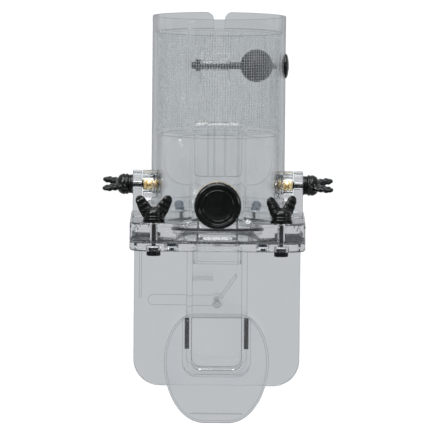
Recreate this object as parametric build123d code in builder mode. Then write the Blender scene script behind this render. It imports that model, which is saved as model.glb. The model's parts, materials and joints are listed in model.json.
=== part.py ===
from build123d import *
from math import cos, hypot, radians, sin
import os

os.makedirs("parts", exist_ok=True)

# Clear strainer canister: an upper tube with a mesh sleeve and a float, clamped in a flanged
# socket, over a back plate and an outlet chute with a swinging flap and a spoon-shaped deflector.
# Frame: origin at the centre of the tube's mouth, in the plane of its rim. +Z is up, +X is to
# the right and -Y is the front. All sizes are in millimetres.

# ---------------------------------------------------------------- driving dimensions
# upper tube
tube_od = 100.0
tube_wall = 3.0
tube_length = 160.0
mouth_step = 0.8            # the mouth is bored out by this much on the radius
mouth_depth = 12.0
slot_width = 8.3
slot_depth = 26.0
slot_flare = 5.8
side_boss_reach = 6.2       # boss face, out from the tube's skin
side_boss_width = 22.0
side_boss_height = 20.0

# flanged socket
socket_slip = 0.15          # radial gap round the tube
collar_wall = 3.0
collar_height = 11.0
tube_seat = 9.0             # how far the tube goes down into the upper flange
flange_side = 15.5          # the flange's edges, out from the tube's skin
flange_ahead = 10.0
flange_behind = 11.0
flange_corner = 12.0
upper_flange = 14.4
gasket = 1.0
lower_flange = 6.0
edge_round = 1.6
film = 0.05                 # glue line between clear pieces
lug_gap = 0.7               # between the tube's boss and the socket's lug
lug_thick = 6.9
lug_width = 24.0
lug_round = 4.0

# front frame of the socket
frame_width = 42.4
frame_top = 75.0            # above the flange
frame_corner = 7.0
frame_rim = 3.75
frame_recess = 3.0
frame_bevel = 2.0
frame_block = 35.0          # full-depth block behind the knob, height above the flange
rib_places = (-7.5, -3.0, 5.3, 15.0)
rib_width = 1.0

# clamp screws and knob
clamp_height = 24.0         # side screws' axis above the flange
insert_od = 12.5
insert_fit = 0.05
screw_d = 6.0
thread_fit = 0.05
screw_hole_play = 0.3
side_washer = 1.2
knob_height = 13.5          # knob's axis above the flange
knob_d = 35.0
knob_thick = 7.6
front_insert_od = 35.4
front_insert_len = 6.5
stud_d = 10.0
knob_steps = ((14.6, 0.9), (11.4, 1.8))     # radius and depth of each sunk ring
knob_edge = 2.6
back_gap = 0.4              # between the knob and the frame's face
tip_gap = 0.4               # from a screw's tip to the sleeve

# sleeve, mesh and rings inside the tube
sleeve_gap = 1.5            # between the sleeve and the tube's bore
sleeve_wall = 2.0
sleeve_top = 88.6           # below the rim
sleeve_foot = 2.0           # above the tube's end
window_width = 84.0
window_height = 37.0
window_edge = 4.4           # band left above the window
window_corner = 18.0
mesh_wall = 0.8             # the mesh is as wide as the sleeve below it
mesh_top = 12.3
ring_height = 1.6
ring_lip = 0.6              # inside the mesh
ring_fit = 0.15
mesh_bottom = 86.0

# cross rod with float and spool
rod_drop = 37.2             # axis below the rim
rod_d = 5.3
rod_left = 20.5             # rod's inner end, left of the axis
ball_d = 24.5
ball_centre = 28.2
spool_d = 28.0
spool_left = 14.0
spool_length = 22.0
spool_flange = 1.6
hub_wall = 2.2
rod_nut_r = 4.6
rod_nut_thick = 3.5
rod_hole_play = 1.0         # round the rod where it goes through the mesh
plug_d = 18.6
plug_rise = 2.4             # dome's crown outside the tube's skin
plug_bed = 1.1              # depth of the flat that the dome turns on
plug_play = 0.1

# flange bolts
bolt_d = 5.0
bolt_play = 0.25
front_bolt_side = 18.0      # in from the flange's edges
front_bolt_ahead = 9.0
rear_bolt_x = 34.5
rear_bolt_behind = 8.5
head_d = 10.5
head_height = 6.4
head_recess = 3.8
head_room = 0.4
washer_thick = 1.2
washer_d = 16.7
cap_nut_d = 10.0
cap_nut_height = 6.6
cap_crown = 2.0
cap_round = 3.6
bolt_reach = 10.0           # of a front bolt, above its washer

# back plate
plate_half_width = 62.7
plate_height = 107.8
plate_thick = 5.0
plate_corner = 20.0
plate_gap = 4.0             # between the chute's back and the plate
plate_rib = 1.5
plate_rib_x = 57.8
plate_rib_top = 4.0
plate_rib_length = 37.0
plate_rib_rise = 3.0

# outlet chute, mouth frame and deflector
chute_half_width = 22.7
chute_front = 25.0          # front face, in front of the axis
chute_depth = 30.0
chute_wall = 4.0
chute_height = 96.0
chute_corner = 11.0
neck_play = 0.3
neck_wall = 2.4
neck_drop = 12.6
neck_lead = 4.0             # chamfer that leads into the neck
mouth_drop = 52.7           # mouth's top edge below the lower flange
mouth_half_width = 18.7
mouth_leg = 7.0
mouth_bar = 5.0
deflector_tilt = 14.0       # degrees from upright, the foot leaning forward
deflector_width = 78.2
deflector_height = 82.0
deflector_waist = 36.0      # widest line, below the top edge
deflector_flat = 16.0       # half of the straight top edge
deflector_foot = 9.0        # half of the straight foot
deflector_thick = 2.2
deflector_top = 49.8        # top edge below the lower flange
deflector_stand = 2.0       # its back, in front of the chute, at the top edge
rim_bead = 1.6
bead_rise = 0.8
strip_width = 3.2           # rubber strips behind the mouth frame's legs
strip_length = 23.6
strip_thick = 1.8
strip_play = 0.1
lip_line = 6.8              # engraved line above the foot

# diverter flap
flap_drop = 42.4            # pivot below the lower flange
flap_lean = 35.0            # degrees from upright, towards +X
flap_length = 25.0
flap_thick = 2.0
flap_pin_d = 3.0
flap_knuckle_d = 7.0
flap_play = 0.4
pin_fit = 0.05
pin_head_d = 5.6
pin_head = 1.2
lever_thick = 2.5
lever_height = 8.0
lever_reach = 52.0
lever_hub_d = 11.0
stop_reach = 15.5           # fixed stop, in from the left wall
stop_drop = 23.4            # its top below the lower flange
stop_thick = 2.0

# ---------------------------------------------------------------- worked-out places
tube_r = tube_od / 2
bore_r = tube_r - tube_wall
socket_r = tube_r + socket_slip
flange_half_width = tube_r + flange_side
flange_front = tube_r + flange_ahead
flange_back = tube_r + flange_behind
sleeve_od = 2 * (bore_r - sleeve_gap)
sleeve_length = tube_length - sleeve_foot - sleeve_top
flange_top = -(tube_length - tube_seat)
joint_plane = flange_top - upper_flange
lower_top = joint_plane - gasket
lower_bottom = lower_top - lower_flange
clamp_z = flange_top + clamp_height
knob_z = flange_top + knob_height
boss_face = tube_r + side_boss_reach
lug_face = boss_face + lug_gap
lug_out = lug_face + lug_thick
chute_floor = lower_bottom - chute_height
chute_rear = chute_depth - chute_front
plate_front = chute_rear + plate_gap
mouth_top = lower_bottom - mouth_drop
flap_z = lower_bottom - flap_drop
bolt_r = bolt_d / 2
rod_r = rod_d / 2
rod_z = -rod_drop

front_bolt_x = flange_half_width - front_bolt_side
front_bolt_y = flange_front - front_bolt_ahead
rear_bolt_y = flange_back - rear_bolt_behind
FRONT_BOLTS = [(-front_bolt_x, -front_bolt_y), (front_bolt_x, -front_bolt_y)]
REAR_BOLTS = [(-rear_bolt_x, rear_bolt_y), (rear_bolt_x, rear_bolt_y)]
ALL_BOLTS = FRONT_BOLTS + REAR_BOLTS


def save(piece, name):
    """Label a finished piece and write it to its own file."""
    piece.part.label = name
    export_step(piece.part, f"parts/{name}.step")


def facing(x, y, z, direction, across=(0, 0, 1)):
    """A plane at a point whose normal is the given direction."""
    return Plane(origin=(x, y, z), x_dir=across, z_dir=direction)


def disc(plane, radius, depth, mode=Mode.ADD):
    """A cylinder that starts on a plane and runs along its normal."""
    with BuildSketch(plane) as section:
        Circle(radius)
    extrude(section.sketch, amount=depth, mode=mode)


def discs(z, places, radius, depth, mode=Mode.ADD):
    """Cylinders that stand on height z at each place and run by depth along Z."""
    with BuildSketch(Plane.XY.offset(z)) as sections:
        with Locations(*places):
            Circle(radius)
    extrude(sections.sketch, amount=depth, mode=mode)


def flange_outline(inset=0.0):
    """The flange's plan: a rectangle with round corners, set in by inset."""
    middle = (flange_back - flange_front) / 2
    depth = flange_back + flange_front - 2 * inset
    with Locations((0, middle)):
        RectangleRounded(2 * (flange_half_width - inset), depth, flange_corner - inset)


def round_flange_edges(height):
    """Round the long outer edges of a flange that lie at a height."""
    rim = part_edges_at(height).filter_by(lambda e: e.length > flange_corner / 2)
    outer = rim.filter_by(lambda e: max(abs(e.center().X) / flange_half_width,
                                        abs(e.center().Y) / flange_front) > 0.9)
    fillet(outer, edge_round)


def part_edges_at(height):
    """Edges of the part being built that lie flat at a height."""
    builder = BuildPart._get_context()
    return builder.edges().filter_by_position(Axis.Z, height - 0.01, height + 0.01)


def wing_head(plane, flange_r, hub_r, hub_height):
    """A winged head: a round hub on a plane, with two ears that lean out along its x."""
    flange_t = 2.0
    profile = Plane(origin=plane.origin, x_dir=plane.x_dir, z_dir=-plane.y_dir)
    with BuildSketch(profile) as hub:
        with BuildLine():
            Polyline((0, 0), (flange_r, 0), (flange_r, flange_t * 0.6),
                     (flange_r - 0.8, flange_t), (hub_r, flange_t))
            Line((hub_r, flange_t), (hub_r, hub_height * 0.55))
            Line((hub_r, hub_height * 0.55), (hub_r * 0.72, hub_height))
            Polyline((hub_r * 0.72, hub_height), (0, hub_height), (0, 0))
        make_face()
    revolve(hub.sketch, axis=Axis(plane.origin, plane.z_dir))
    ear_lean = 60.0
    ear_width = 8.6
    ear_run = 12.5
    ear_t = 4.6
    for side in (1, -1):
        with BuildSketch(profile) as outline:
            middle = (side * hub_r * 0.90, hub_height * 0.5 + ear_run * 0.48)
            with Locations(middle):
                SlotCenterToCenter(ear_run, ear_width, rotation=90 - side * (90 - ear_lean))
        ear = extrude(outline.sketch, amount=ear_t / 2, both=True, mode=Mode.PRIVATE)
        add(ear.fillet(1.3, ear.edges()))


# ---------------------------------------------------------------- upper tube
with BuildPart() as canister_tube:
    disc(Plane.XY.offset(-tube_length), tube_r, tube_length)
    for side in (-1, 1):
        with BuildSketch(facing(side * boss_face, 0, clamp_z, (-side, 0, 0))):
            RectangleRounded(side_boss_height, side_boss_width, 3.0)
        extrude(amount=boss_face - bore_r)
    disc(Plane.XY, bore_r, -tube_length, Mode.SUBTRACT)
    disc(Plane.XY, bore_r + mouth_step, -mouth_depth, Mode.SUBTRACT)
    # keyway in the back of the rim, with rounded shoulders
    with BuildSketch(facing(0, 0, 0, (0, 1, 0), across=(1, 0, 0))):
        with Locations((0, slot_depth / 2)):
            Rectangle(slot_width, slot_depth)
    extrude(amount=tube_od, mode=Mode.SUBTRACT)
    shoulders = canister_tube.edges().filter_by(Axis.Y).filter_by_position(Axis.Z, -0.01, 0.01)
    fillet(shoulders, slot_flare)
    # holes for the side inserts, the knob's stud and the cross rod
    for side in (-1, 1):
        disc(facing(side * boss_face, 0, clamp_z, (-side, 0, 0)), insert_od / 2 + insert_fit,
             boss_face - bore_r + tube_wall, Mode.SUBTRACT)
    disc(facing(0, -tube_od, knob_z, (0, 1, 0)), stud_d / 2 + screw_hole_play, tube_od,
         Mode.SUBTRACT)
    disc(facing(tube_od, 0, rod_z, (-1, 0, 0)), rod_r + thread_fit, tube_od, Mode.SUBTRACT)
    disc(facing(tube_od, 0, rod_z, (-1, 0, 0)), plug_d / 2 + 0.4, tube_r + plug_bed,
         Mode.SUBTRACT)
save(canister_tube, "canister_tube")

# ---------------------------------------------------------------- flanged socket
with BuildPart() as socket_casting:
    with BuildSketch(Plane.XY.offset(joint_plane)):
        flange_outline()
    extrude(amount=upper_flange)
    round_flange_edges(flange_top)
    disc(Plane.XY.offset(joint_plane), socket_r + collar_wall, upper_flange + collar_height)
    # side lugs that carry the wing screws
    lug_height = clamp_z + side_boss_height / 2 - flange_top
    for side in (-1, 1):
        with BuildSketch(facing(side * lug_face, 0, flange_top, (side, 0, 0), across=(0, 1, 0))):
            with Locations((0, side * lug_height / 2)):
                Rectangle(lug_width, lug_height)
        lug = extrude(amount=lug_thick, mode=Mode.PRIVATE)
        tops = lug.edges().filter_by(Axis.X).sort_by(Axis.Z)[-2:]
        add(lug.fillet(lug_round, tops))
    # upright frame in front of the tube, rounded at the top
    with BuildSketch(facing(0, -flange_front, joint_plane, (0, 1, 0), across=(1, 0, 0))):
        with Locations((0, -(frame_top + upper_flange) / 2)):
            Rectangle(frame_width, frame_top + upper_flange)
    frame = extrude(amount=flange_front - bore_r, mode=Mode.PRIVATE)
    frame_tops = frame.edges().filter_by(Axis.Y).sort_by(Axis.Z)[-2:]
    frame = frame.fillet(frame_corner, frame_tops)
    frame_face = frame.faces().sort_by(Axis.Y)[0]
    add(frame.chamfer(frame_bevel, None, frame_face.edges()))
    # recessed panel with upright ribs
    panel_height = frame_top - frame_block - frame_rim
    panel_z = flange_top + frame_block + panel_height / 2
    with BuildSketch(facing(0, -flange_front, panel_z, (0, 1, 0), across=(1, 0, 0))):
        RectangleRounded(frame_width - 2 * frame_rim, panel_height, frame_corner - frame_rim)
    extrude(amount=frame_recess, mode=Mode.SUBTRACT)
    with BuildSketch(facing(0, -flange_front + frame_recess, panel_z, (0, -1, 0), (1, 0, 0))):
        with Locations(*[(place, 0) for place in rib_places]):
            Rectangle(rib_width, panel_height)
    extrude(amount=frame_recess / 2)
    # bore for the tube, with a ledge that it stands on, and a groove for its seal
    disc(Plane.XY.offset(-tube_length - film), socket_r, tube_length, Mode.SUBTRACT)
    disc(Plane.XY.offset(joint_plane), bore_r, upper_flange, Mode.SUBTRACT)
    seal_r = 0.95
    seal_z = -tube_length + 3.5
    with BuildSketch(Plane.XY.offset(seal_z - seal_r - 0.1)):
        Circle(socket_r + 2 * seal_r)
    extrude(amount=2 * seal_r + 0.2, mode=Mode.SUBTRACT)
    # bolt holes, screw holes, and the knob's insert pocket and stud hole
    discs(joint_plane, ALL_BOLTS, bolt_r + bolt_play, upper_flange, Mode.SUBTRACT)
    for side in (-1, 1):
        disc(facing(side * lug_out, 0, clamp_z, (-side, 0, 0)), screw_d / 2 + screw_hole_play,
             lug_thick, Mode.SUBTRACT)
    disc(facing(0, -flange_front, knob_z, (0, 1, 0)), front_insert_od / 2 + insert_fit,
         front_insert_len, Mode.SUBTRACT)
    disc(facing(0, -flange_front, knob_z, (0, 1, 0)), stud_d / 2 + screw_hole_play,
         flange_front - bore_r, Mode.SUBTRACT)
save(socket_casting, "socket_casting")

with BuildPart() as tube_seal:
    with BuildSketch(Plane.XZ):
        with Locations((socket_r + seal_r - 0.05, seal_z)):
            Circle(seal_r)
    revolve(axis=Axis.Z)
save(tube_seal, "tube_seal")

# ---------------------------------------------------------------- flange joint
with BuildPart() as flange_gasket:
    with BuildSketch(Plane.XY.offset(lower_top)):
        flange_outline(inset=2.0)
        Circle(bore_r, mode=Mode.SUBTRACT)
        with Locations(*ALL_BOLTS):
            Circle(bolt_r + bolt_play, mode=Mode.SUBTRACT)
    extrude(amount=gasket)
save(flange_gasket, "flange_gasket")

chute_middle = chute_rear - chute_depth / 2
neck_half_width = chute_half_width - chute_wall - neck_play
neck_depth = chute_depth - 2 * (chute_wall + neck_play)

with BuildPart() as lower_flange_plate:
    with BuildSketch(Plane.XY.offset(lower_bottom)):
        flange_outline()
    extrude(amount=lower_flange)
    round_flange_edges(lower_bottom)
    # spigot that the chute hangs on
    with BuildSketch(Plane.XY.offset(lower_bottom)):
        with Locations((0, chute_middle)):
            RectangleRounded(2 * neck_half_width, neck_depth, 2.0)
    extrude(amount=-neck_drop)
    with BuildSketch(Plane.XY.offset(lower_top)):
        with Locations((0, chute_middle)):
            RectangleRounded(2 * (neck_half_width - neck_wall), neck_depth - 2 * neck_wall, 1.5)
    extrude(amount=-(lower_flange + neck_drop), mode=Mode.SUBTRACT)
    lead_edges = part_edges_at(lower_top).filter_by(
        lambda e: hypot(e.center().X, e.center().Y - chute_middle) < chute_half_width)
    chamfer(lead_edges, neck_lead)
    discs(lower_bottom, ALL_BOLTS, bolt_r + bolt_play, lower_flange, Mode.SUBTRACT)
    discs(lower_bottom, ALL_BOLTS, head_d / 2 + head_room, head_recess, Mode.SUBTRACT)
save(lower_flange_plate, "lower_flange")

# ---------------------------------------------------------------- clamp screws and inserts
def side_insert(side, name):
    """Brass insert, pressed through one of the tube's bosses."""
    with BuildPart() as insert:
        disc(facing(side * boss_face, 0, clamp_z, (-side, 0, 0)), insert_od / 2,
             boss_face - bore_r - tip_gap)
        rim = insert.edges().filter_by(GeomType.CIRCLE)
        chamfer(rim, 0.5)
        disc(facing(side * boss_face, 0, clamp_z, (-side, 0, 0)), screw_d / 2 + thread_fit,
             tube_od, Mode.SUBTRACT)
    save(insert, name)


def wing_screw(side, lean, name):
    """Wing screw through a lug and its insert; lean turns the ears about its axis."""
    across = (0, cos(radians(lean)), sin(radians(lean)))
    seat = side * (lug_out + side_washer)
    with BuildPart() as screw:
        wing_head(Plane(origin=(seat, 0, clamp_z), x_dir=across, z_dir=(side, 0, 0)),
                  flange_r=7.0, hub_r=7.9, hub_height=10.5)
        reach = lug_out + side_washer - sleeve_od / 2 - tip_gap
        disc(facing(seat, 0, clamp_z, (-side, 0, 0)), screw_d / 2, reach)
        tip = screw.edges().filter_by(GeomType.CIRCLE).sort_by(Axis.X)[0 if side > 0 else -1]
        chamfer(tip, 0.6)
    save(screw, name)


side_insert(-1, "left_insert")
side_insert(1, "right_insert")
wing_screw(-1, 13.0, "left_wing_screw")
wing_screw(1, 13.0, "right_wing_screw")

with BuildPart() as side_washers:
    for side in (-1, 1):
        with BuildSketch(facing(side * lug_out, 0, clamp_z, (side, 0, 0))):
            Circle(screw_d / 2 + 4.2)
            Circle(screw_d / 2 + screw_hole_play, mode=Mode.SUBTRACT)
        extrude(amount=side_washer)
save(side_washers, "side_washers")

with BuildPart() as front_insert:
    disc(facing(0, -flange_front, knob_z, (0, 1, 0)), front_insert_od / 2, front_insert_len)
    chamfer(front_insert.edges().filter_by(GeomType.CIRCLE), 0.5)
    disc(facing(0, -flange_front, knob_z, (0, 1, 0)), stud_d / 2 + thread_fit,
         front_insert_len, Mode.SUBTRACT)
save(front_insert, "front_insert")

# knob: a round cap with two stepped rings sunk in its face
knob_back = -flange_front - back_gap
with BuildPart() as front_knob:
    disc(facing(0, knob_back, knob_z, (0, -1, 0)), knob_d / 2, knob_thick)
    face_edge = front_knob.edges().filter_by(GeomType.CIRCLE).sort_by(Axis.Y)[0]
    fillet(face_edge, knob_edge)
    knob_face = knob_back - knob_thick
    for radius, depth in knob_steps:
        disc(facing(0, knob_face, knob_z, (0, 1, 0)), radius, depth, Mode.SUBTRACT)
    inner_edges = front_knob.edges().filter_by(GeomType.CIRCLE).group_by(Axis.Y)[0]
    fillet(inner_edges, 0.35)
save(front_knob, "front_knob")

with BuildPart() as knob_stud:
    stud_reach = -knob_back - sleeve_od / 2 - tip_gap
    disc(facing(0, knob_back, knob_z, (0, 1, 0)), stud_d / 2, stud_reach)
    chamfer(knob_stud.edges().filter_by(GeomType.CIRCLE).sort_by(Axis.Y)[-1], 0.8)
save(knob_stud, "knob_stud")

# ---------------------------------------------------------------- sleeve, mesh and rings
with BuildPart() as throat_sleeve:
    with BuildSketch(Plane.XY.offset(-sleeve_top)):
        Circle(sleeve_od / 2)
        Circle(sleeve_od / 2 - sleeve_wall, mode=Mode.SUBTRACT)
    extrude(amount=-sleeve_length)
    window_z = -sleeve_top - window_edge - window_height / 2
    with BuildSketch(facing(0, 0, window_z, (0, 1, 0), across=(1, 0, 0))):
        RectangleRounded(window_width, window_height, window_corner)
    extrude(amount=sleeve_od, mode=Mode.SUBTRACT)
save(throat_sleeve, "throat_sleeve")

with BuildPart() as mesh_sleeve:
    with BuildSketch(Plane.XY.offset(-mesh_top - ring_height)):
        Circle(sleeve_od / 2)
        Circle(sleeve_od / 2 - mesh_wall, mode=Mode.SUBTRACT)
    extrude(amount=-(mesh_bottom - mesh_top - 2 * ring_height))
    disc(facing(0, 0, rod_z, (1, 0, 0)), rod_r + rod_hole_play, tube_r, Mode.SUBTRACT)
save(mesh_sleeve, "mesh_sleeve")


def mesh_ring(top, name):
    """Ring that holds one end of the mesh against the tube's bore."""
    with BuildPart() as ring:
        with BuildSketch(Plane.XY.offset(-top)):
            Circle(bore_r - ring_fit)
            Circle(sleeve_od / 2 - mesh_wall - ring_lip, mode=Mode.SUBTRACT)
        extrude(amount=-ring_height)
    save(ring, name)


mesh_ring(mesh_top, "mesh_ring_top")
mesh_ring(mesh_bottom - ring_height, "mesh_ring_bottom")

# ---------------------------------------------------------------- cross rod
plug_seat = tube_r - plug_bed + plug_play
with BuildPart() as side_plug:
    with BuildSketch(Plane(origin=(0, 0, rod_z), x_dir=(1, 0, 0), z_dir=(0, -1, 0))):
        with BuildLine():
            Line((plug_seat, 0), (plug_seat, plug_d / 2))
            Line((plug_seat, plug_d / 2), (tube_r, plug_d / 2))
            EllipticalCenterArc((tube_r, 0), plug_rise, plug_d / 2, start_angle=0, arc_size=90)
            Line((tube_r + plug_rise, 0), (plug_seat, 0))
        make_face()
    revolve(axis=Axis((0, 0, rod_z), (1, 0, 0)))
save(side_plug, "side_plug")

with BuildPart() as side_rod:
    disc(facing(-rod_left, 0, rod_z, (1, 0, 0)), rod_r, rod_left + plug_seat)
    chamfer(side_rod.edges().filter_by(GeomType.CIRCLE).sort_by(Axis.X)[0], 0.6)
save(side_rod, "side_rod")

with BuildPart() as float_ball:
    with Locations((ball_centre, 0, rod_z)):
        Sphere(ball_d / 2)
    disc(facing(0, 0, rod_z, (1, 0, 0)), rod_r, tube_r, Mode.SUBTRACT)
save(float_ball, "float_ball")

with BuildPart() as guide_spool:
    disc(facing(-spool_left, 0, rod_z, (1, 0, 0)), rod_r + hub_wall, spool_length)
    for start in (-spool_left, spool_length - spool_left - spool_flange):
        disc(facing(start, 0, rod_z, (1, 0, 0)), spool_d / 2, spool_flange)
    disc(facing(-spool_left, 0, rod_z, (1, 0, 0)), rod_r, spool_length, Mode.SUBTRACT)
save(guide_spool, "guide_spool")

with BuildPart() as rod_end_nut:
    with BuildSketch(facing(-spool_left, 0, rod_z, (-1, 0, 0))):
        RegularPolygon(rod_nut_r, 6)
        Circle(rod_r, mode=Mode.SUBTRACT)
    extrude(amount=rod_nut_thick)
save(rod_end_nut, "rod_end_nut")

# ---------------------------------------------------------------- bolts, washers and nuts
head_seat = lower_bottom + head_recess - washer_thick


def bolts(places, top, name):
    """Bolts with round knurled heads under the lower flange, up through the joint."""
    with BuildPart() as group:
        discs(head_seat, places, head_d / 2, -head_height)
        chamfer(group.edges().filter_by(GeomType.CIRCLE), 0.5)
        discs(head_seat, places, bolt_r, top - head_seat)
    save(group, name)


def washers(places, z, radius, name):
    """Flat washers that lie on height z."""
    with BuildPart() as group:
        with BuildSketch(Plane.XY.offset(z)):
            with Locations(*places):
                Circle(radius)
                Circle(bolt_r + bolt_play, mode=Mode.SUBTRACT)
        extrude(amount=washer_thick)
    save(group, name)


nut_seat = flange_top + washer_thick
bolts(FRONT_BOLTS, nut_seat + bolt_reach, "front_bolts")
bolts(REAR_BOLTS, nut_seat + cap_nut_height - cap_crown, "rear_bolts")
washers(FRONT_BOLTS, flange_top, washer_d / 2, "front_washers")
washers(REAR_BOLTS, flange_top, cap_nut_d / 2 + 0.6, "rear_washers")
washers(ALL_BOLTS, head_seat, head_d / 2, "head_washers")


def wing_nut(place, turn, name):
    """Wing nut on a front bolt, its ears turned about the bolt."""
    across = (cos(radians(turn)), sin(radians(turn)), 0)
    seat = Plane(origin=(place[0], place[1], nut_seat), x_dir=across, z_dir=(0, 0, 1))
    with BuildPart() as nut:
        wing_head(seat, flange_r=7.8, hub_r=6.5, hub_height=9.5)
        disc(seat, bolt_r + thread_fit, bolt_reach + 0.5, Mode.SUBTRACT)
    save(nut, name)


wing_nut(FRONT_BOLTS[0], 6.0, "left_wing_nut")
wing_nut(FRONT_BOLTS[1], 38.0, "right_wing_nut")

with BuildPart() as rear_cap_nuts:
    for place in REAR_BOLTS:
        disc(Plane(origin=(*place, nut_seat)), cap_nut_d / 2, cap_nut_height)
    fillet(rear_cap_nuts.edges().filter_by(GeomType.CIRCLE).group_by(Axis.Z)[-1], cap_round)
    discs(nut_seat, REAR_BOLTS, bolt_r, cap_nut_height - cap_crown, Mode.SUBTRACT)
save(rear_cap_nuts, "rear_cap_nuts")

# ---------------------------------------------------------------- back plate
def u_outline(half, top, floor, corner):
    """A U seen from the front: straight sides and two rounded lower corners."""
    with BuildLine() as outline:
        Polyline((-half, floor + corner), (-half, top), (half, top), (half, floor + corner))
        RadiusArc((half, floor + corner), (half - corner, floor), corner)
        Line((half - corner, floor), (-half + corner, floor))
        RadiusArc((-half + corner, floor), (-half, floor + corner), corner)
    make_face(outline.edges())


with BuildPart() as back_plate:
    plate_top = lower_bottom - film
    with BuildSketch(facing(0, plate_front + plate_thick, 0, (0, -1, 0), across=(1, 0, 0))):
        u_outline(plate_half_width, plate_top, lower_bottom - plate_height, plate_corner)
    extrude(amount=plate_thick)
    long_edges = back_plate.edges().filter_by(lambda e: e.center().Z < plate_top - 1.0)
    chamfer(long_edges.filter_by(lambda e: abs(e.tangent_at(0.5).Y) < 0.1), 0.6)
    # low stiffening rib down the left side
    rib_z = plate_top - plate_rib_top - plate_rib_length / 2
    with BuildSketch(facing(-plate_rib_x, plate_front, rib_z, (0, -1, 0), across=(1, 0, 0))):
        Rectangle(plate_rib, plate_rib_length)
    extrude(amount=plate_rib_rise)
save(back_plate, "back_plate")

# ---------------------------------------------------------------- outlet chute
chute_view = facing(0, chute_rear, 0, (0, -1, 0), across=(1, 0, 0))
inner_corner = chute_corner - chute_wall
with BuildPart() as outlet_chute:
    with BuildSketch(chute_view):
        u_outline(chute_half_width, lower_bottom - film, chute_floor, chute_corner)
    extrude(amount=chute_depth)
    with BuildSketch(chute_view.offset(chute_wall)):
        u_outline(chute_half_width - chute_wall, lower_bottom + 1.0,
                  chute_floor + chute_wall, inner_corner)
    extrude(amount=chute_depth - 2 * chute_wall, mode=Mode.SUBTRACT)
    # mouth in the front wall
    with BuildSketch(chute_view.offset(chute_depth - chute_wall)):
        u_outline(mouth_half_width, mouth_top, chute_floor + mouth_bar, inner_corner)
    extrude(amount=chute_wall, mode=Mode.SUBTRACT)
    # holes for the flap's pin
    disc(facing(0, chute_rear, flap_z, (0, -1, 0)), flap_pin_d / 2 + pin_fit, chute_depth,
         Mode.SUBTRACT)
save(outlet_chute, "outlet_chute")

# the deflector's plane leans forward at its foot
deflector_z = lower_bottom - deflector_top
lean = radians(deflector_tilt)
deflector_back = facing(0, -chute_front - deflector_stand, deflector_z,
                        (0, -cos(lean), sin(lean)), across=(1, 0, 0))

with BuildPart() as mouth_frame:
    with BuildSketch(chute_view.offset(chute_depth + film)):
        u_outline(mouth_half_width + mouth_leg, mouth_top, chute_floor, chute_corner)
    extrude(amount=2 * chute_depth)
    with BuildSketch(chute_view.offset(chute_depth)):
        u_outline(mouth_half_width, mouth_top + 1.0, chute_floor + mouth_bar, inner_corner)
    extrude(amount=2 * chute_depth + 1.0, mode=Mode.SUBTRACT)
    split(bisect_by=deflector_back.offset(-film), keep=Keep.BOTTOM)
    # grooves in the back of the legs for the rubber strips
    strip_view = chute_view.offset(chute_depth + film)
    strip_x = mouth_half_width + mouth_leg / 2
    strip_places = [(-strip_x, mouth_top - strip_length / 2), (strip_x, mouth_top - strip_length / 2)]
    with BuildSketch(strip_view):
        with Locations(*strip_places):
            Rectangle(strip_width + 2 * strip_play, strip_length)
    extrude(amount=strip_thick + strip_play, mode=Mode.SUBTRACT)
save(mouth_frame, "mouth_frame")

with BuildPart() as mouth_strips:
    with BuildSketch(strip_view):
        with Locations(*strip_places):
            Rectangle(strip_width, strip_length - 2 * strip_play)
    extrude(amount=strip_thick)
save(mouth_strips, "mouth_strips")


def deflector_outline(inset=0.0):
    """Oval plate: nearly flat on top, widest above the middle, round at its foot."""
    half = deflector_width / 2 - inset
    top_radius = deflector_waist - inset
    foot_radius = deflector_height - deflector_waist - inset
    with BuildLine() as right:
        Line((0, -inset), (deflector_flat, -inset))
        EllipticalCenterArc((deflector_flat, -deflector_waist), half - deflector_flat, top_radius,
                            start_angle=0, arc_size=90)
        EllipticalCenterArc((deflector_foot, -deflector_waist), half - deflector_foot, foot_radius,
                            start_angle=270, arc_size=90)
        Line((0, inset - deflector_height), (deflector_foot, inset - deflector_height))
        mirror(about=Plane.YZ)
    make_face(right.edges())


with BuildPart() as deflector_plate:
    with BuildSketch(deflector_back):
        deflector_outline()
    extrude(amount=deflector_thick + bead_rise)
    with BuildSketch(deflector_back.offset(deflector_thick)):
        deflector_outline(inset=rim_bead)
    extrude(amount=bead_rise, mode=Mode.SUBTRACT)
    # the mouth goes on through the plate
    slope = 1 / cos(lean)
    mouth_up = (deflector_z - mouth_top) * slope
    mouth_down = (deflector_z - chute_floor - mouth_bar) * slope
    with BuildSketch(deflector_back):
        u_outline(mouth_half_width, -mouth_up, -mouth_down, inner_corner)
    extrude(amount=deflector_thick, mode=Mode.SUBTRACT)
    # engraved line across the foot
    with BuildSketch(deflector_back.offset(deflector_thick)):
        with Locations((0, -deflector_height + lip_line)):
            Rectangle(deflector_width * 0.5, 0.6)
    extrude(amount=-0.4, mode=Mode.SUBTRACT)
save(deflector_plate, "deflector_plate")

# ---------------------------------------------------------------- diverter flap
flap_depth = chute_depth - 2 * chute_wall - 2 * flap_play
flap_rear = chute_rear - chute_wall - flap_play
with BuildPart() as diverter_flap:
    disc(facing(0, flap_rear, flap_z, (0, -1, 0)), flap_knuckle_d / 2, flap_depth)
    turned = radians(flap_lean)
    with BuildSketch(facing(0, flap_rear, flap_z, (0, -1, 0), (cos(turned), 0, -sin(turned)))):
        with Locations((0, flap_length / 2)):
            Rectangle(flap_thick, flap_length)
    extrude(amount=flap_depth)
    disc(facing(0, flap_rear, flap_z, (0, -1, 0)), flap_pin_d / 2, flap_depth, Mode.SUBTRACT)
save(diverter_flap, "diverter_flap")

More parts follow.
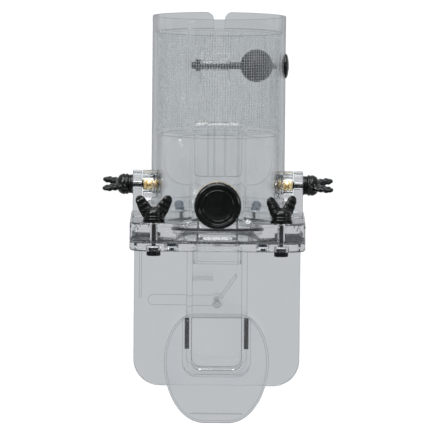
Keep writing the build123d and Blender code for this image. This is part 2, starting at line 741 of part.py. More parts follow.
# the pin turns with the flap and carries the lever behind the chute
lever_front = chute_rear + flap_play
with BuildPart() as flap_pin:
    pin_front = -chute_front - flap_play
    disc(facing(0, pin_front, flap_z, (0, 1, 0)), flap_pin_d / 2,
         lever_front + lever_thick - pin_front)
    disc(facing(0, pin_front, flap_z, (0, -1, 0)), pin_head_d / 2, pin_head)
    fillet(flap_pin.edges().filter_by(GeomType.CIRCLE).sort_by(Axis.Y)[0], 0.6)
save(flap_pin, "flap_pin")

with BuildPart() as flap_lever:
    with BuildSketch(facing(0, lever_front, flap_z, (0, 1, 0), across=(-1, 0, 0))):
        Circle(lever_hub_d / 2)
        with Locations((lever_reach / 2, 0)):
            SlotOverall(lever_reach, lever_height)
        Circle(flap_pin_d / 2, mode=Mode.SUBTRACT)
    extrude(amount=lever_thick)
save(flap_lever, "flap_lever")

with BuildPart() as chute_stop:
    stop_start = -(chute_half_width - chute_wall) + film
    stop_top = lower_bottom - stop_drop
    with BuildSketch(facing(0, chute_rear - chute_wall - film, stop_top, (0, -1, 0), (1, 0, 0))):
        with Locations((stop_start + stop_reach / 2, -stop_thick / 2)):
            Rectangle(stop_reach, stop_thick)
    extrude(amount=chute_depth - 2 * chute_wall - 2 * film)
save(chute_stop, "chute_stop")
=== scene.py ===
"""Looks for the clear strainer canister: materials, fine detail, light and camera."""
import json
from math import cos, hypot, pi, radians, sin

import bmesh
import bpy
from mathutils import Matrix, Vector


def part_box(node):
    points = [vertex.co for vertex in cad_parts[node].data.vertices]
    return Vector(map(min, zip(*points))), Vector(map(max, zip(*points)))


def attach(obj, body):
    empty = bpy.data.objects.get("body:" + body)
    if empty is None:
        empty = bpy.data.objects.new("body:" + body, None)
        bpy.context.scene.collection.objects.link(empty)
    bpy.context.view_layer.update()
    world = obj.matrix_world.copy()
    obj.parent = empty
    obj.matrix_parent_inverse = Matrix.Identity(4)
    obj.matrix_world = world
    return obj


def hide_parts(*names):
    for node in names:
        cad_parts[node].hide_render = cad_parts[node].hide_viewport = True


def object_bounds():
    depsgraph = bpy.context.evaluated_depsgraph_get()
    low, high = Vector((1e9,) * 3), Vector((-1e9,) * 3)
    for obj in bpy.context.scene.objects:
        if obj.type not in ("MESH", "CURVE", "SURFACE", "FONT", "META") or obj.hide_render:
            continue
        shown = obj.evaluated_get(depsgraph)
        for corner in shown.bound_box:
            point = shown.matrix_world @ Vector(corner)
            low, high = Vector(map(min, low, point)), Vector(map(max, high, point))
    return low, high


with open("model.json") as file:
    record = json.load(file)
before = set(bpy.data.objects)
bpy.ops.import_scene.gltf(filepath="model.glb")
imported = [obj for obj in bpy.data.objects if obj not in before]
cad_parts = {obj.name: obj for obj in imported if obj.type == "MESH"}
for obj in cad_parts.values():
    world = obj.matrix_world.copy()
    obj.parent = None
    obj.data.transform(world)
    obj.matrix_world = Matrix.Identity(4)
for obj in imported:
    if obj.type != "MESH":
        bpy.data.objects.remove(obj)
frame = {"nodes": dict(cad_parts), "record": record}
cad_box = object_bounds()
nodes = frame["nodes"]
bodies = frame["record"]["behaviour"]["bodies"]
lowest = cad_box[0].z


# ------------------------------------------------------------------ camera
CAMERA_DISTANCE = 5.0       # in front of the tube's axis
CAMERA_RISE = 0.288         # above the rim
FIELD = 0.327               # width of the view at the tube's axis
ROLL = 0.52                 # degrees
AIM = Vector((-0.0001, 0.0, -0.1518))


def make_camera():
    """A long lens, a little above the rim, looking down at the middle of the canister."""
    data = bpy.data.cameras.new("camera")
    data.sensor_width = 36.0
    place = Vector((AIM.x, -CAMERA_DISTANCE, CAMERA_RISE))
    reach = (AIM - place).length
    data.lens = data.sensor_width * reach / FIELD
    data.clip_end = 60.0
    camera = bpy.data.objects.new("camera", data)
    bpy.context.scene.collection.objects.link(camera)
    turn = (AIM - place).to_track_quat("-Z", "Y")
    roll = Matrix.Rotation(radians(ROLL), 4, "Z")
    camera.matrix_world = Matrix.Translation(place) @ turn.to_matrix().to_4x4() @ roll
    bpy.context.scene.camera = camera


# ------------------------------------------------------------------ materials
NOISE_SPAN = (0.3, 0.7)     # the middle of a noise texture's range, where most of its values lie
WHITE = (1.0, 1.0, 1.0)
PAINTED_CORNER_SHADE_REACH = 0.0007       # how far the painted shade line along a clear part's corner reaches
PAINTED_CORNER_SHADE_SPAN = (0.80, 0.985) # match between the rounded and the flat normal, from painted shade line to plain
PAINTED_SLANT_SHADE_SPAN = (0.62, 0.97)   # slant at which the painted shade on a clear wall starts, and where it is darkest


def node_of(tree, kind, place, **values):
    """A shader node at a place, with its named input values set."""
    made = tree.nodes.new(kind)
    made.location = place
    for name, value in values.items():
        made.inputs[name.replace("_", " ")].default_value = value
    return made


def start_material(name):
    """A material with its object coordinates and a Principled shader wired to the output."""
    material = bpy.data.materials.new(name)
    material.use_nodes = True
    tree = material.node_tree
    tree.nodes.clear()
    output = node_of(tree, "ShaderNodeOutputMaterial", (900, 0))
    shader = node_of(tree, "ShaderNodeBsdfPrincipled", (400, 0))
    tree.links.new(shader.outputs["BSDF"], output.inputs["Surface"])
    coords = node_of(tree, "ShaderNodeTexCoord", (-900, 0))
    return material, tree, shader, coords.outputs["Object"], output


def stretched(tree, coords, scale, place):
    """Coordinates scaled by a different amount along each axis."""
    mapping = node_of(tree, "ShaderNodeMapping", place)
    mapping.inputs["Scale"].default_value = scale
    tree.links.new(coords, mapping.inputs["Vector"])
    return mapping.outputs["Vector"]


def noise(tree, coords, scale, place, detail=3.0, roughness=0.5):
    """A noise texture's value over the given coordinates."""
    texture = node_of(tree, "ShaderNodeTexNoise", place, Scale=scale, Detail=detail,
                      Roughness=roughness)
    tree.links.new(coords, texture.inputs["Vector"])
    return texture.outputs["Fac"]


def between(tree, value, dark, light, place, span=NOISE_SPAN):
    """A colour that runs from dark to light as a value rises through a span."""
    ramp = node_of(tree, "ShaderNodeValToRGB", place)
    ramp.color_ramp.elements[0].position = span[0]
    ramp.color_ramp.elements[1].position = span[1]
    ramp.color_ramp.elements[0].color = (*dark, 1.0)
    ramp.color_ramp.elements[1].color = (*light, 1.0)
    tree.links.new(value, ramp.inputs["Fac"])
    return ramp.outputs["Color"]


def ramp_of(tree, value, start, end, first, last, place):
    """A number that runs from first to last as a value goes from start to end."""
    remap = node_of(tree, "ShaderNodeMapRange", place)
    for name, setting in zip(("From Min", "From Max", "To Min", "To Max"),
                             (start, end, first, last)):
        remap.inputs[name].default_value = setting
    tree.links.new(value, remap.inputs["Value"])
    return remap.outputs["Result"]


def raise_surface(tree, shader, value, distance, strength, place, below=None):
    """A bump from a value, on top of an earlier bump if there is one."""
    bump = node_of(tree, "ShaderNodeBump", place, Distance=distance, Strength=strength)
    tree.links.new(value, bump.inputs["Height"])
    if below is not None:
        tree.links.new(below, bump.inputs["Normal"])
    tree.links.new(bump.outputs["Normal"], shader.inputs["Normal"])
    return bump.outputs["Normal"]


def painted_corner_shade(tree, dark, place):
    """Painted shade: a colour that turns dark along sharp corners, standing in for the dark lines
    where clear plastic bends light away.
    """
    x, y = place
    rounded = node_of(tree, "ShaderNodeBevel", (x, y), Radius=PAINTED_CORNER_SHADE_REACH)
    rounded.samples = 6
    flat = node_of(tree, "ShaderNodeNewGeometry", (x, y - 200))
    match = node_of(tree, "ShaderNodeVectorMath", (x + 200, y))
    match.operation = "DOT_PRODUCT"
    tree.links.new(rounded.outputs["Normal"], match.inputs[0])
    tree.links.new(flat.outputs["Normal"], match.inputs[1])
    return between(tree, match.outputs["Value"], dark, WHITE, (x + 400, y), PAINTED_CORNER_SHADE_SPAN)


def multiplied(tree, first, second, place):
    """Two colours multiplied together."""
    both = node_of(tree, "ShaderNodeMix", place)
    both.data_type = "RGBA"
    both.blend_type = "MULTIPLY"
    both.inputs[0].default_value = 1.0
    tree.links.new(first, both.inputs[6])
    tree.links.new(second, both.inputs[7])
    return both.outputs[2]


def clear_plastic(name, tint, shade, roughness=0.02, ripple=0.00006, ior=1.49,
                  edge=(0.16, 0.175, 0.19), corner=(0.22, 0.235, 0.25), clear=1.0):
    """Clear moulded plastic with flow ripples and hairline scratches, which light gets through.

    edge is the painted shade on walls seen at a slant, corner the painted shade drawn along sharp
    corners, and clear is the share of light that passes."""
    material, tree, shader, coords, output = start_material(name)
    shader.inputs["Transmission Weight"].default_value = clear
    shader.inputs["IOR"].default_value = ior
    cloud = noise(tree, coords, 34.0, (-700, 250), detail=2.0)
    colour = between(tree, cloud, tint, [min(1.0, part * 1.03) for part in tint], (-450, 300))
    # painted shade: the colour darkens where a wall is seen at a slant, partly for the longer path
    # through it, partly standing in for the dark rims that bent light gives
    slant = node_of(tree, "ShaderNodeLayerWeight", (-700, 480), Blend=0.5)
    painted_slant_shade = between(tree, slant.outputs["Facing"], WHITE, edge, (-450, 560), PAINTED_SLANT_SHADE_SPAN)
    body = multiplied(tree, colour, painted_slant_shade, (-150, 400))
    # painted shade: dark lines along sharp corners
    if corner:
        body = multiplied(tree, body, painted_corner_shade(tree, corner, (-900, 850)), (50, 500))
    tree.links.new(body, shader.inputs["Base Color"])
    scratches = noise(tree, stretched(tree, coords, (900, 900, 60), (-700, -150)), 1.0,
                      (-500, -150), detail=4.0)
    rough = ramp_of(tree, scratches, *NOISE_SPAN, roughness * 0.5, roughness * 2.2, (-300, -150))
    tree.links.new(rough, shader.inputs["Roughness"])
    flow = noise(tree, stretched(tree, coords, (60, 60, 22), (-700, -420)), 1.0, (-500, -420))
    raise_surface(tree, shader, flow, ripple, 0.6, (-200, -420))
    # shadow rays pass straight through
    path = node_of(tree, "ShaderNodeLightPath", (400, 400))
    through = node_of(tree, "ShaderNodeBsdfTransparent", (400, -450))
    through.inputs["Color"].default_value = (*shade, 1.0)
    mix = node_of(tree, "ShaderNodeMixShader", (700, 0))
    tree.links.new(path.outputs["Is Shadow Ray"], mix.inputs["Fac"])
    tree.links.new(shader.outputs["BSDF"], mix.inputs[1])
    tree.links.new(through.outputs["BSDF"], mix.inputs[2])
    tree.links.new(mix.outputs["Shader"], output.inputs["Surface"])
    return material


def moulded_plastic(name, dark, light, roughness, grain=0.00003):
    """Opaque moulded plastic with a faint grain and worn, slightly glossier patches."""
    material, tree, shader, coords, _ = start_material(name)
    shader.inputs["IOR"].default_value = 1.46
    patches = noise(tree, coords, 90.0, (-700, 200))
    tree.links.new(between(tree, patches, dark, light, (-450, 250)), shader.inputs["Base Color"])
    rough = ramp_of(tree, patches, *NOISE_SPAN, roughness * 0.7, roughness * 1.5, (-300, -100))
    tree.links.new(rough, shader.inputs["Roughness"])
    fine = noise(tree, coords, 1800.0, (-700, -350), detail=2.0)
    raise_surface(tree, shader, fine, grain, 0.5, (-200, -350))
    return material


def worked_metal(name, dark, light, roughness, stretch=(900, 900, 90)):
    """Metal with fine tool marks and a slightly uneven tone."""
    material, tree, shader, coords, _ = start_material(name)
    shader.inputs["Metallic"].default_value = 1.0
    marks = noise(tree, stretched(tree, coords, stretch, (-700, 0)), 1.0, (-500, 0), detail=4.0)
    tone = noise(tree, coords, 220.0, (-700, 250))
    tree.links.new(between(tree, tone, dark, light, (-450, 250)), shader.inputs["Base Color"])
    rough = ramp_of(tree, marks, *NOISE_SPAN, roughness * 0.6, roughness * 1.5, (-300, -100))
    tree.links.new(rough, shader.inputs["Roughness"])
    raise_surface(tree, shader, marks, 0.00003, 0.5, (-200, -300))
    return material


# edge and corner below are painted shade: a darker colour at a slant, and dark lines along sharp
# corners
CLEAR = clear_plastic("clear_plastic", (0.975, 0.98, 0.98), (0.95, 0.96, 0.97),
                      edge=(0.72, 0.735, 0.74), corner=(0.30, 0.315, 0.32))
CLEAR_TUBE = clear_plastic("clear_tube", (0.935, 0.945, 0.95), (0.93, 0.94, 0.95))
CLEAR_THIN = clear_plastic("clear_sleeve", (0.97, 0.975, 0.98), (0.96, 0.965, 0.97),
                           edge=(0.08, 0.09, 0.10), corner=(0.06, 0.065, 0.07))
CLEAR_PLATE = clear_plastic("clear_plate", (0.96, 0.97, 0.985), (0.93, 0.94, 0.95))
CLEAR_MESH = clear_plastic("clear_mesh", (0.60, 0.62, 0.62), (0.90, 0.91, 0.92), roughness=0.25,
                           edge=(0.45, 0.46, 0.47), corner=None, clear=0.60)
SILICONE = clear_plastic("clear_silicone", (0.95, 0.96, 0.965), (0.92, 0.93, 0.94),
                         roughness=0.2, ior=1.41, edge=(0.8, 0.81, 0.82), corner=None)
BLACK = moulded_plastic("black_plastic", (0.0015, 0.0018, 0.0018), (0.004, 0.0045, 0.004), 0.09,
                        grain=0.00001)
RUBBER = moulded_plastic("black_rubber", (0.004, 0.004, 0.0045), (0.010, 0.010, 0.011), 0.45)
NYLON = moulded_plastic("white_nylon", (0.62, 0.63, 0.63), (0.72, 0.73, 0.73), 0.35)
CAP = moulded_plastic("blue_grey_cap", (0.055, 0.07, 0.095), (0.08, 0.10, 0.13), 0.35)
BRASS = worked_metal("brass", (0.70, 0.50, 0.22), (0.95, 0.80, 0.50), 0.26)
DARK_STEEL = worked_metal("dark_steel", (0.030, 0.032, 0.034), (0.075, 0.078, 0.082), 0.30)

WEARS = {
    "canister_tube": CLEAR_TUBE, "throat_sleeve": CLEAR_THIN, "back_plate": CLEAR_PLATE,
    "deflector_plate": CLEAR_PLATE, "flange_gasket": SILICONE,
}
BY_SLOT = {
    "clear_plastic": CLEAR, "clear_mesh": CLEAR_MESH, "clear_silicone": SILICONE,
    "black_plastic": BLACK, "black_rubber": RUBBER, "brass": BRASS, "dark_steel": DARK_STEEL,
    "white_nylon": NYLON, "blue_grey_cap": CAP,
}


def dress_nodes():
    """Give every CAD node the material of its slot, or its own where it has one."""
    for part in frame["record"]["subparts"]:
        material = WEARS.get(part["node"], BY_SLOT[part["material_slot"]])
        for place in nodes[part["node"]].material_slots:
            place.material = material


# ------------------------------------------------------------------ mesh pieces
BOLT_R = 0.0025
BOLT_PITCH = 0.0008
BOLT_HEAD_R = 0.00525
SCREW_R = 0.0030
SCREW_PITCH = 0.0010
SIDE_KNURL = (22, 260.0, 0.0005)    # teeth, slope in turns a metre, depth
RING_KNURL = (72, 300.0, 0.0005)
HEAD_KNURL = (30, 0.0, 0.00035)
SCREW_HEAD = (0.0070, 0.0079, 0.0105)   # flange radius, hub radius, hub height
NUT_HEAD = (0.0080, 0.0078, 0.0095)
EAR_LEAN = 60.0             # degrees, from across the head to along its axis
NUT_EAR_RUN = 0.0102        # an ear's length without its round end
SCREW_EAR_RUN = 0.0128
EAR_WIDTH = 0.0098
EAR_THICK = 0.0046
WING_LEAN = 13.0            # degrees that the side screws' ears are turned


def body_holding(node):
    """The name of the body that a node belongs to."""
    return next(name for name, held in bodies.items() if node in held)


def new_piece(name, shape, material, node, smooth=True):
    """Turn a bmesh into a piece that stands for a CAD node and rides on its body."""
    mesh = bpy.data.meshes.new(name)
    bmesh.ops.recalc_face_normals(shape, faces=shape.faces)
    shape.to_mesh(mesh)
    shape.free()
    for face in mesh.polygons:
        face.use_smooth = smooth
    piece = bpy.data.objects.new(name, mesh)
    bpy.context.scene.collection.objects.link(piece)
    piece.data.materials.append(material)
    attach(piece, body_holding(node))
    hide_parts(node)
    return piece


def strand(shape, points, outward, across, closed):
    """A thin square strand through a list of points, with a frame for each of them."""
    rings = []
    for point, out, side in zip(points, outward, across):
        rings.append([shape.verts.new(point + offset) for offset in (out, side, -out, -side)])
    count = len(rings)
    for index in range(count if closed else count - 1):
        here, there = rings[index], rings[(index + 1) % count]
        for corner in range(4):
            after = (corner + 1) % 4
            shape.faces.new((here[corner], here[after], there[after], there[corner]))


def weave_mesh():
    """Woven square mesh round the tube: upright strands and hoops that pass over and under."""
    pitch = 0.0020
    strand_r = 0.00017
    hoop_r = 0.00011
    sway = 0.00014
    lo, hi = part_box("mesh_sleeve")
    radius = (hi.x - lo.x) / 2 - 0.0004
    count = 2 * round(pi * radius / pitch)
    rows = round((hi.z - lo.z) / pitch)
    step = (hi.z - lo.z) / rows
    shape = bmesh.new()
    for column in range(count):
        angle = 2 * pi * column / count
        out = Vector((cos(angle), sin(angle), 0.0))
        side = Vector((-sin(angle), cos(angle), 0.0))
        points = []
        for row in range(rows + 1):
            reach = radius + sway * (1 if (row + column) % 2 else -1)
            points.append(out * reach + Vector((0, 0, lo.z + row * step)))
        frames = ([out * strand_r] * len(points), [side * strand_r] * len(points))
        strand(shape, points, *frames, closed=False)
    for row in range(rows + 1):
        points, outs, ups = [], [], []
        for column in range(count):
            angle = 2 * pi * column / count
            out = Vector((cos(angle), sin(angle), 0.0))
            reach = radius - sway * (1 if (row + column) % 2 else -1)
            points.append(out * reach + Vector((0, 0, lo.z + row * step)))
            outs.append(out * hoop_r)
            ups.append(Vector((0, 0, hoop_r)))
        strand(shape, points, outs, ups, closed=True)
    # room for the cross rod
    rod_lo, rod_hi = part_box("side_rod")
    rod_z = (rod_lo.z + rod_hi.z) / 2
    clear = (rod_hi.z - rod_lo.z) / 2 + 0.0010
    blocked = [vert for vert in shape.verts
               if vert.co.x > 0 and hypot(vert.co.y, vert.co.z - rod_z) < clear]
    bmesh.ops.delete(shape, geom=blocked, context="VERTS")
    return new_piece("woven_mesh", shape, CLEAR_MESH, "mesh_sleeve")


def turned(shape, place, axis, across, profile, around, change=None):
    """A turned form: rings of (distance along the axis, radius), closed at both ends."""
    side = axis.cross(across)
    rings = []
    for reach, radius in profile:
        ring = []
        for index in range(around):
            angle = 2 * pi * index / around
            out = across * cos(angle) + side * sin(angle)
            size = radius + (change(reach, angle) if change else 0.0)
            ring.append(shape.verts.new(place + axis * reach + out * size))
        rings.append(ring)
    for here, there in zip(rings, rings[1:]):
        for index in range(around):
            after = (index + 1) % around
            shape.faces.new((here[index], here[after], there[after], there[index]))
    for ring in (rings[0], rings[-1]):
        shape.faces.new(ring)


def saw(value):
    """A triangle wave from 0 to 1 and back, once for each whole step of value."""
    part = value % 1.0
    return 2 * min(part, 1 - part)


def even_steps(start, end, count):
    """Numbers from start to end, count of them."""
    return [start + (end - start) * index / (count - 1) for index in range(count)]


def threaded(shape, place, axis, across, radius, start, end, pitch):
    """A screw thread on a round shank."""
    depth = 0.30 * pitch
    rows = round((end - start) / pitch * 4) + 1

    def cut(reach, angle):
        return -2 * depth * saw(reach / pitch - angle / (2 * pi))

    profile = [(reach, radius) for reach in even_steps(start, end, rows)]
    turned(shape, place, axis, across, profile, 24, cut)


def knurled(shape, place, axis, across, radius, start, end, teeth, slope, depth):
    """A roll with a crossed knurl between two plain bevelled rims."""
    rim = depth * 1.6

    def cut(reach, angle):
        if reach < start + rim or reach > end - rim:
            return 0.0
        turn = teeth * angle / (2 * pi)
        lean = slope * reach
        return -depth * max(1 - 2 * saw(turn + lean), 1 - 2 * saw(turn - lean), 0.0)

    rows = even_steps(start + rim, end - rim, 15)
    profile = [(start, radius - rim), (start + rim * 0.5, radius)]
    profile += [(reach, radius) for reach in rows]
    profile += [(end - rim * 0.5, radius), (end, radius - rim)]
    turned(shape, place, axis, across, profile, teeth * 6, cut)


def side_insert(side, node):
    """Brass insert with two knurled bands and a waist between them."""
    lo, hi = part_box(node)
    radius = (hi.z - lo.z) / 2
    place = Vector((hi.x if side > 0 else lo.x, 0.0, (lo.z + hi.z) / 2))
    axis = Vector((-side, 0, 0))
    length = hi.x - lo.x
    shape = bmesh.new()
    band = length * 0.42
    across = Vector((0, 0, 1))
    waist = [(reach, radius * 0.86) for reach in (band * 0.9, length - band * 0.9)]
    knurled(shape, place, axis, across, radius, 0.0, band, *SIDE_KNURL)
    turned(shape, place, axis, across, waist, 48)
    knurled(shape, place, axis, across, radius, length - band, length, *SIDE_KNURL)
    return new_piece(f"{node}_knurled", shape, BRASS, node, smooth=False)


def front_insert():
    """Brass ring behind the knob, with a crossed knurl on its edge."""
    lo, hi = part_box("front_insert")
    radius = (hi.x - lo.x) / 2
    place = Vector((0.0, lo.y, (lo.z + hi.z) / 2))
    shape = bmesh.new()
    knurled(shape, place, Vector((0, 1, 0)), Vector((1, 0, 0)), radius * 0.985, 0.0, hi.y - lo.y,
            *RING_KNURL)
    return new_piece("front_insert_knurled", shape, BRASS, "front_insert", smooth=False)


def knob():
    """Round black knob: a soft outer edge and two raised rings on a stepped face."""
    lo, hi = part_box("front_knob")
    radius = (hi.x - lo.x) / 2
    thick = hi.y - lo.y
    place = Vector((0.0, hi.y, (lo.z + hi.z) / 2))
    shares = [
        (0.00, 0.955), (0.03, 0.985), (0.07, 1.000), (0.60, 1.000), (0.72, 0.994), (0.82, 0.978),
        (0.90, 0.952), (0.96, 0.918), (0.995, 0.878), (1.00, 0.850), (0.990, 0.838),
        (0.950, 0.830), (0.885, 0.826), (0.872, 0.815), (0.872, 0.806), (0.905, 0.796),
        (0.905, 0.786),
        (0.872, 0.776), (0.866, 0.768), (0.862, 0.680), (0.868, 0.672), (0.905, 0.662),
        (0.905, 0.652), (0.870, 0.642), (0.780, 0.636), (0.765, 0.626), (0.760, 0.610),
        (0.757, 0.300), (0.756, 0.020),
    ]
    profile = [(thick * along, radius * out) for along, out in shares]
    shape = bmesh.new()
    turned(shape, place, Vector((0, -1, 0)), Vector((1, 0, 0)), profile, 128)
    return new_piece("knob_turned", shape, BLACK, "front_knob")


def bolt_pair(node, head_r):
    """Two threaded bolts with knurled heads."""
    lo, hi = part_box(node)
    shape = bmesh.new()
    up, across = Vector((0, 0, 1)), Vector((1, 0, 0))
    for side in (-1, 1):
        place = Vector((side * (hi.x - head_r), (lo.y + hi.y) / 2, lo.z))
        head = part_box("head_washers")[0].z - lo.z
        knurled(shape, place, up, across, head_r, 0.0, head, *HEAD_KNURL)
        threaded(shape, place, up, across, BOLT_R, head * 0.9, hi.z - lo.z, BOLT_PITCH)
    return new_piece(f"{node}_threaded", shape, DARK_STEEL, node, smooth=False)


def ear(shape, start, along, outward, length, width, thick):
    """One ribbed ear of a wing head, wider in the middle and round at its tip."""
    flat = along.cross(outward).normalized()
    broad = flat.cross(along).normalized()
    around = 16
    rings = []
    for share in even_steps(0.0, 1.0, 33):
        swell = 0.80 + 0.20 * sin(pi * min(share / 0.75, 1.0))
        close = min(1.0, (1 - share) * length / (width / 2))
        end = (1 - (1 - close) ** 2) ** 0.5
        ridges = 0.16 * cos(2 * pi * 5.0 * share) if 0.25 < share < 0.93 else 0.0
        half_wide = width / 2 * swell * max(end, 0.06)
        half_thick = thick / 2 * (1.05 - 0.30 * share + ridges) * max(end ** 0.7, 0.10)
        ring = []
        for index in range(around):
            angle = 2 * pi * index / around
            wide = half_wide * abs(cos(angle)) ** 0.75 * (1 if cos(angle) >= 0 else -1)
            deep = half_thick * abs(sin(angle)) ** 0.6 * (1 if sin(angle) >= 0 else -1)
            spot = start + along * length * share + broad * wide + flat * deep
            ring.append(shape.verts.new(spot))
        rings.append(ring)
    for here, there in zip(rings, rings[1:]):
        for index in range(around):
            after = (index + 1) % around
            shape.faces.new((here[index], here[after], there[after], there[index]))
    for ring in (rings[0], rings[-1]):
        shape.faces.new(ring)


def wing_head(shape, place, axis, across, flange_r, hub_r, hub_height, ear_run):
    """A moulded wing head: a flange, a ribbed hub and two ribbed ears."""
    hub = [(0.0, flange_r * 0.93), (0.05, flange_r), (0.14, flange_r), (0.18, flange_r * 0.95),
           (0.19, hub_r * 0.90), (0.24, hub_r * 0.96), (0.32, hub_r), (0.38, hub_r * 0.96),
           (0.42, hub_r * 0.90), (0.47, hub_r * 0.97), (0.55, hub_r * 0.99), (0.70, hub_r * 0.93),
           (0.84, hub_r * 0.82), (0.94, hub_r * 0.66), (0.99, hub_r * 0.45), (1.0, hub_r * 0.20)]
    turned(shape, place, axis, across, [(hub_height * along, out) for along, out in hub], 48)
    for side in (1, -1):
        lean = radians(EAR_LEAN)
        along = (axis * sin(lean) + across * side * cos(lean)).normalized()
        middle = place + across * side * hub_r * 0.90 + axis * (hub_height * 0.5 + ear_run * 0.48)
        length = ear_run + EAR_WIDTH
        start = middle - along * length / 2
        ear(shape, start, along, across * side, length, EAR_WIDTH * 0.98, EAR_THICK)


def wing_screw(side, node):
    """Black wing screw: the head, and a threaded shank that goes in through the lug."""
    lo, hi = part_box(node)
    washer_lo, washer_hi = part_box("side_washers")
    seat = washer_hi.x if side > 0 else washer_lo.x
    place = Vector((seat, 0.0, (lo.z + hi.z) / 2))
    lean = radians(WING_LEAN)
    across = Vector((0, cos(lean), sin(lean)))
    axis = Vector((side, 0, 0))
    shape = bmesh.new()
    wing_head(shape, place, axis, across, *SCREW_HEAD, SCREW_EAR_RUN)
    tip = abs(seat - (lo.x if side > 0 else hi.x))
    threaded(shape, place, -axis, across, SCREW_R, -0.001, tip, SCREW_PITCH)
    return new_piece(f"{node}_moulded", shape, BLACK, node)


def wing_nut(turn, node):
    """Black wing nut on a front bolt."""
    lo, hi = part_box(node)
    across = Vector((cos(radians(turn)), sin(radians(turn)), 0))
    place = Vector(((lo.x + hi.x) / 2, (lo.y + hi.y) / 2, lo.z))
    shape = bmesh.new()
    wing_head(shape, place, Vector((0, 0, 1)), across, *NUT_HEAD, NUT_EAR_RUN)
    return new_piece(f"{node}_moulded", shape, BLACK, node)


# ------------------------------------------------------------------ light and floor
FLOOR_GAP = 0.25
# also the colour of the floor's painted glow, seen through clear plastic and in a gloss
STUDIO_GREY = (0.53, 0.545, 0.56)
PAINTED_REFLECTION_FRONT = 0.22          # strength of the floor's painted reflection glow seen in a gloss, in front of the object
PAINTED_REFLECTION_BACK = 0.8            # and behind it


def soft_light(name, place, target, size, power, tint=(1.0, 1.0, 1.0)):
    """A square soft box at a place, aimed at a target."""
    data = bpy.data.lights.new(name, "AREA")
    data.shape = "SQUARE"
    data.size = size
    data.energy = power
    data.color = tint
    light = bpy.data.objects.new(name, data)
    bpy.context.scene.collection.objects.link(light)
    light.location = place
    light.rotation_euler = (Vector(target) - Vector(place)).to_track_quat("-Z", "Y").to_euler()


def make_floor():
    """A wide pale floor a little below the canister, which hangs from its mouth."""
    shape = bmesh.new()
    bmesh.ops.create_grid(shape, x_segments=2, y_segments=2, size=30.0)
    mesh = bpy.data.meshes.new("floor")
    shape.to_mesh(mesh)
    shape.free()
    floor = bpy.data.objects.new("floor", mesh)
    bpy.context.scene.collection.objects.link(floor)
    floor.location.z = lowest - FLOOR_GAP
    material, tree, shader, coords, output = start_material("floor")
    paper = noise(tree, coords, 3.0, (-700, 0))
    tree.links.new(between(tree, paper, (0.925, 0.925, 0.925), (0.935, 0.935, 0.935), (-450, 0)),
                   shader.inputs["Base Color"])
    shader.inputs["Roughness"].default_value = 1.0
    shader.inputs["Specular IOR Level"].default_value = 0.0
    # painted shade and painted reflection: seen through clear plastic or in a gloss, the floor
    # glows an even studio grey instead of showing its lit paper
    path = node_of(tree, "ShaderNodeLightPath", (0, 600))
    below = shader.outputs["BSDF"]
    parts = node_of(tree, "ShaderNodeSeparateXYZ", (-500, -500))
    tree.links.new(coords, parts.inputs["Vector"])
    # painted reflection: in a gloss the floor's glow is dimmer in front of the object than behind
    # it
    depth = ramp_of(tree, parts.outputs["Y"], -0.3, 0.3, PAINTED_REFLECTION_FRONT, PAINTED_REFLECTION_BACK, (-250, -500))
    painted_glows = []
    for ray, place in (("Is Glossy Ray", 0), ("Is Transmission Ray", 300)):
        painted_glow = node_of(tree, "ShaderNodeEmission", (place, -500), Color=(*STUDIO_GREY, 1.0))
        mix = node_of(tree, "ShaderNodeMixShader", (700 + place, 0))
        tree.links.new(path.outputs[ray], mix.inputs["Fac"])
        tree.links.new(below, mix.inputs[1])
        tree.links.new(painted_glow.outputs["Emission"], mix.inputs[2])
        below = mix.outputs["Shader"]
        painted_glows.append(painted_glow)
    tree.links.new(depth, painted_glows[0].inputs["Strength"])
    tree.links.new(below, output.inputs["Surface"])
    mesh.materials.append(material)


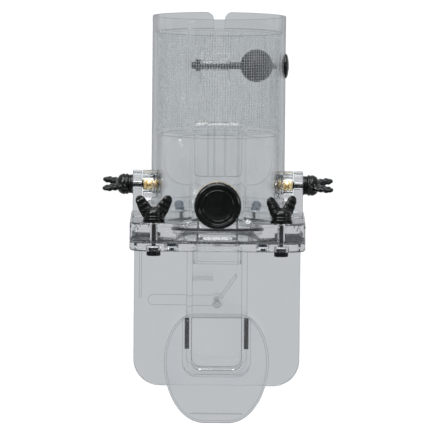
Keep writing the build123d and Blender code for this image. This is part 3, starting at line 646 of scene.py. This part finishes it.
def make_world():
    """Studio surroundings: even grey, a little darker at the sides and in front."""
    world = bpy.data.worlds.new("studio")
    bpy.context.scene.world = world
    world.use_nodes = True
    tree = world.node_tree
    tree.nodes.clear()
    coords = node_of(tree, "ShaderNodeTexCoord", (-1000, 0))
    parts = node_of(tree, "ShaderNodeSeparateXYZ", (-800, 0))
    tree.links.new(coords.outputs["Generated"], parts.inputs["Vector"])
    side = node_of(tree, "ShaderNodeMath", (-600, 150))
    side.operation = "ABSOLUTE"
    tree.links.new(parts.outputs["X"], side.inputs[0])
    flags = ramp_of(tree, side.outputs[0], 0.60, 0.95, 1.0, 0.60, (-400, 150))
    front = ramp_of(tree, parts.outputs["Y"], -0.9, 0.1, 0.60, 1.0, (-400, -150))
    both = node_of(tree, "ShaderNodeMath", (-200, 0))
    both.operation = "MULTIPLY"
    tree.links.new(flags, both.inputs[0])
    tree.links.new(front, both.inputs[1])
    background = node_of(tree, "ShaderNodeBackground", (100, 0))
    background.inputs["Color"].default_value = (*STUDIO_GREY, 1.0)
    output = node_of(tree, "ShaderNodeOutputWorld", (300, 0))
    tree.links.new(both.outputs[0], background.inputs["Strength"])
    tree.links.new(background.outputs["Background"], output.inputs["Surface"])


def light_scene():
    """A broad overhead lamp that lights the floor evenly, with a key and a fill soft box."""
    data = bpy.data.lights.new("overhead", "SUN")
    data.energy = 2.35
    data.angle = radians(50.0)
    overhead = bpy.data.objects.new("overhead", data)
    bpy.context.scene.collection.objects.link(overhead)
    overhead.rotation_euler = (radians(25.0), 0.0, radians(-15.0))
    soft_light("key", (-1.4, -1.6, 1.2), (0, 0, -0.15), 0.7, 16.0)
    soft_light("fill", (1.7, -1.2, 0.2), (0, 0, -0.15), 0.5, 5.0, (0.97, 0.98, 1.0))


make_camera()
make_world()
make_floor()
light_scene()
dress_nodes()
weave_mesh()
side_insert(-1, "left_insert")
side_insert(1, "right_insert")
front_insert()
knob()
bolt_pair("front_bolts", BOLT_HEAD_R)
bolt_pair("rear_bolts", BOLT_HEAD_R)
wing_screw(-1, "left_wing_screw")
wing_screw(1, "right_wing_screw")
wing_nut(6.0, "left_wing_nut")
wing_nut(38.0, "right_wing_nut")

scene = bpy.context.scene
scene.view_settings.view_transform = "Standard"
scene.cycles.max_bounces = 32
scene.cycles.transmission_bounces = 28
scene.cycles.glossy_bounces = 6
scene.cycles.transparent_max_bounces = 48
